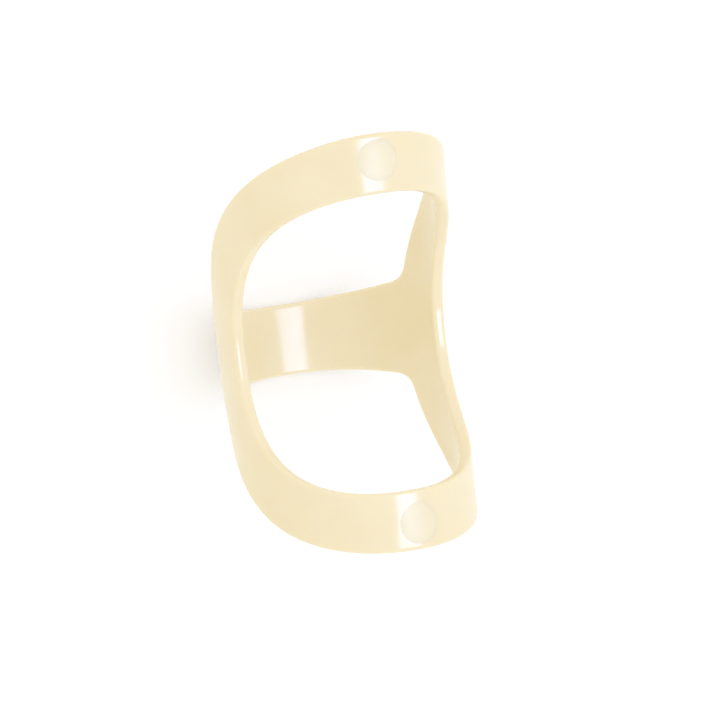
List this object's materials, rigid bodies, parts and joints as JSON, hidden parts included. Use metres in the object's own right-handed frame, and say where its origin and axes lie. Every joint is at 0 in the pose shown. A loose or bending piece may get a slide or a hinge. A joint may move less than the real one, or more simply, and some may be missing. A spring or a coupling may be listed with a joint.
{
  "type": "three-point finger splint",
  "caption": "One-piece oval finger splint: two end bands in front, a middle band behind and thin side rails between.",
  "frame": {"origin": "on the surface it lies on, under the middle of its box, at the flat land of the middle band", "axes": "+Y along the finger, +Z out of the open front between the end bands, +X to the right"},
  "size_m": [0.0218, 0.0362, 0.0206],
  "materials": {
    "plastic": "smooth gloss, cream"
  },
  "bodies": {
    "root": {"splint_body": "plastic"}
  },
  "joints": []
}
